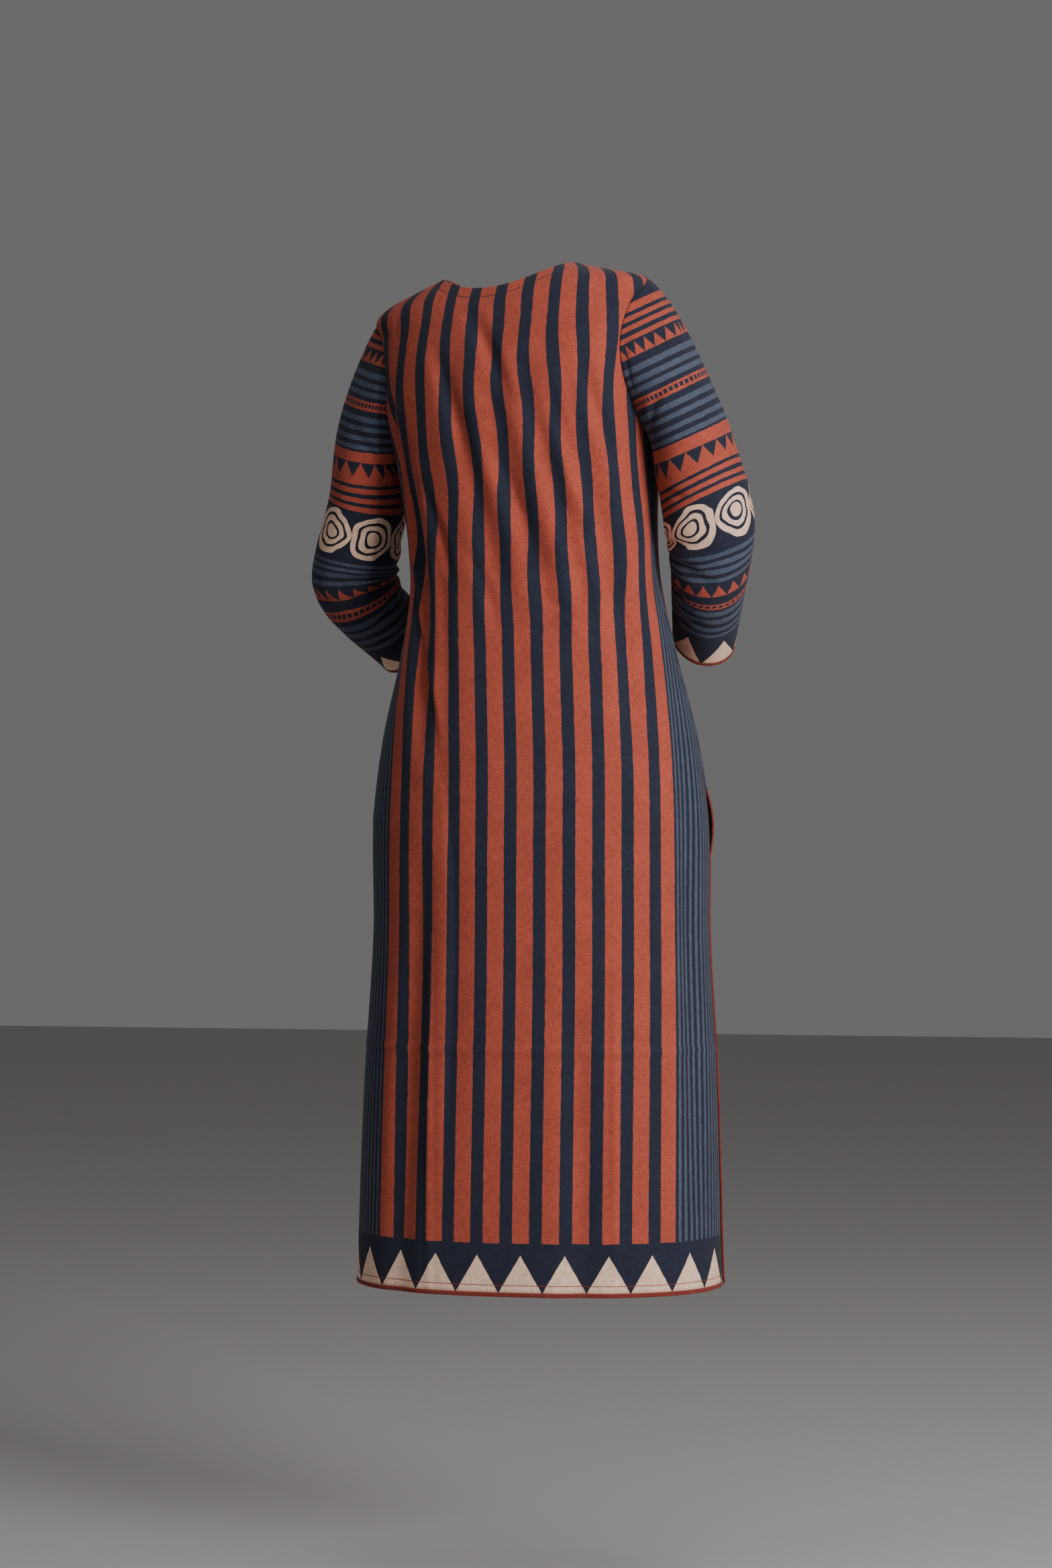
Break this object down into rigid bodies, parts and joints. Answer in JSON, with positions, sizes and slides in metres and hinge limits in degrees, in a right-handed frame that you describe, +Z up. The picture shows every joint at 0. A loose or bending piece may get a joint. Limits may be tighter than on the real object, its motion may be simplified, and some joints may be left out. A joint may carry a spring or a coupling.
{
  "type": "kurti",
  "caption": "Calf-length cotton kurti in its worn form, hollow, with a round neck, three-quarter sleeves bent at the elbow, side slits and a printed border.",
  "frame": {"origin": "midway between the two neck points, at the height where the shoulders carry the cloth", "axes": "+Z up, -Y the way the wearer faces, -X to the wearer's right; the shoulders are turned 10 degrees from the hips, as in the picture"},
  "size_m": [0.5228, 0.3247, 1.1457],
  "materials": {
    "panel_cotton": "matte plain-weave cotton, rust and navy stripes",
    "sleeve_cotton": "matte plain-weave cotton, printed bands on navy",
    "piping_cotton": "matte dark red cotton piping"
  },
  "bodies": {
    "root": {"back_panel": "panel_cotton", "front_panel": "panel_cotton", "right_sleeve": "sleeve_cotton", "left_sleeve": "sleeve_cotton", "back_hem_piping": "piping_cotton", "front_hem_piping": "piping_cotton", "right_slit_piping": "piping_cotton", "left_slit_piping": "piping_cotton", "right_cuff_piping": "piping_cotton", "left_cuff_piping": "piping_cotton"}
  },
  "joints": []
}
